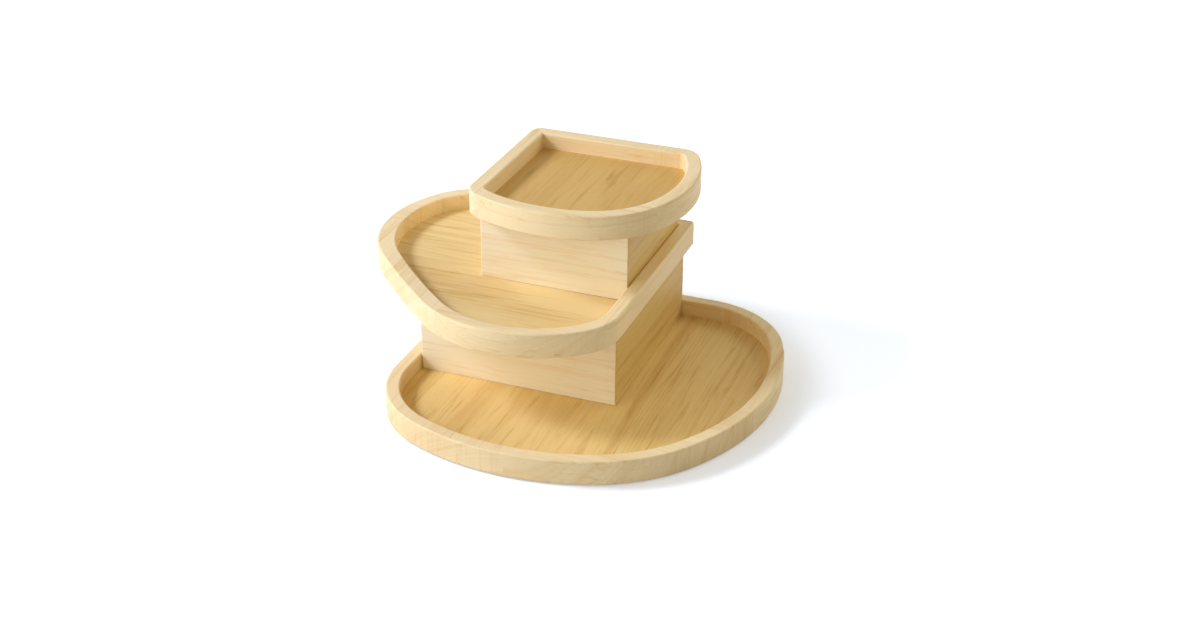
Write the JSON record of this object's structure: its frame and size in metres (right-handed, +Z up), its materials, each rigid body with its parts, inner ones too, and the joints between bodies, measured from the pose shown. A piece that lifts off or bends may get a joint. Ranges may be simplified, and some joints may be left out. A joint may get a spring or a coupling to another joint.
{
  "type": "stackable jewelry organizer",
  "caption": "Stepped stack of curved wooden trays: each upper tray stands on a square riser that nests in the square corner of the tray below and lifts off.",
  "frame": {"origin": "centre of the whole stack's footprint, on the surface it stands on", "axes": "+X to the right as seen from the front, +Y to the back, +Z up"},
  "size_m": [0.3566, 0.299, 0.1635],
  "materials": {
    "rim_wood": "matte oiled",
    "floor_wood": "matte oiled",
    "riser_wood": "matte oiled",
    "inner_wood": "sawn, bare",
    "dowel_wood": "fluted, bare",
    "felt": "pressed felt",
    "clear_rubber": "satin"
  },
  "bodies": {
    "base_tier": {"base_rim_left": "rim_wood", "base_rim_front": "rim_wood", "base_rim_right": "rim_wood", "base_rim_back": "rim_wood", "base_floor_stave_1": "floor_wood", "base_floor_stave_2": "floor_wood", "base_floor_stave_3": "floor_wood", "base_floor_stave_4": "floor_wood", "base_floor_stave_5": "floor_wood", "base_dots": "clear_rubber"},
    "middle_tier": {"lower_riser_front_board": "riser_wood", "lower_riser_right_board": "riser_wood", "lower_riser_back_board": "riser_wood", "lower_riser_left_board": "riser_wood", "lower_riser_corner_posts": "inner_wood", "lower_riser_dowels": "dowel_wood", "lower_riser_felt_pads": "felt", "middle_rim_left": "rim_wood", "middle_rim_front": "rim_wood", "middle_rim_right": "rim_wood", "middle_rim_back": "rim_wood", "middle_floor_stave_1": "floor_wood", "middle_floor_stave_2": "floor_wood", "middle_floor_stave_3": "floor_wood", "middle_floor_stave_4": "floor_wood"},
    "top_tier": {"upper_riser_front_board": "riser_wood", "upper_riser_right_board": "riser_wood", "upper_riser_back_board": "riser_wood", "upper_riser_left_board": "riser_wood", "upper_riser_corner_posts": "inner_wood", "upper_riser_dowels": "dowel_wood", "upper_riser_felt_pads": "felt", "top_rim_left": "rim_wood", "top_rim_front": "rim_wood", "top_rim_right": "rim_wood", "top_rim_back": "rim_wood", "top_floor_stave_1": "floor_wood", "top_floor_stave_2": "floor_wood", "top_floor_stave_3": "floor_wood"}
  },
  "joints": [
    {"name": "middle_tier_lift", "type": "slide", "parent": "base_tier", "child": "middle_tier", "axis": [0, 0, 1], "range_m": [0, 0.06]},
    {"name": "top_tier_lift", "type": "slide", "parent": "middle_tier", "child": "top_tier", "axis": [0, 0, 1], "range_m": [0, 0.06]}
  ]
}
